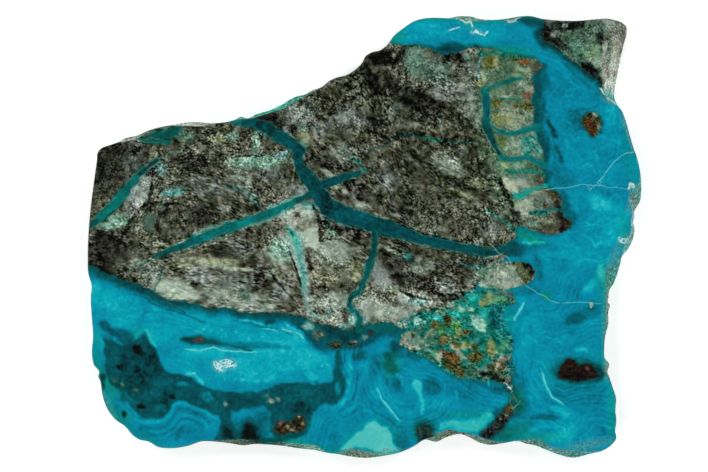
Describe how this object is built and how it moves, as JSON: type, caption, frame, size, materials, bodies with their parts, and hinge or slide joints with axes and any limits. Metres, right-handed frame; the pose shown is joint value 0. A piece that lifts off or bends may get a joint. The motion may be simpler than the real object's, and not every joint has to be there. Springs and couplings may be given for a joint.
{
  "type": "polished chrysocolla slab",
  "caption": "Thin slab of blue-green chrysocolla in speckled host rock, polished flat on one face, with a rough natural edge.",
  "frame": {"origin": "on the sawn back face, under the middle of the slab's outline", "axes": "+X along the slab's longest side, +Y across it, +Z out of the polished face"},
  "size_m": [0.08, 0.0638, 0.005],
  "materials": {
    "stone": "polished face, rough natural edge, sawn back"
  },
  "bodies": {
    "root": {"slab": "stone"}
  },
  "joints": []
}
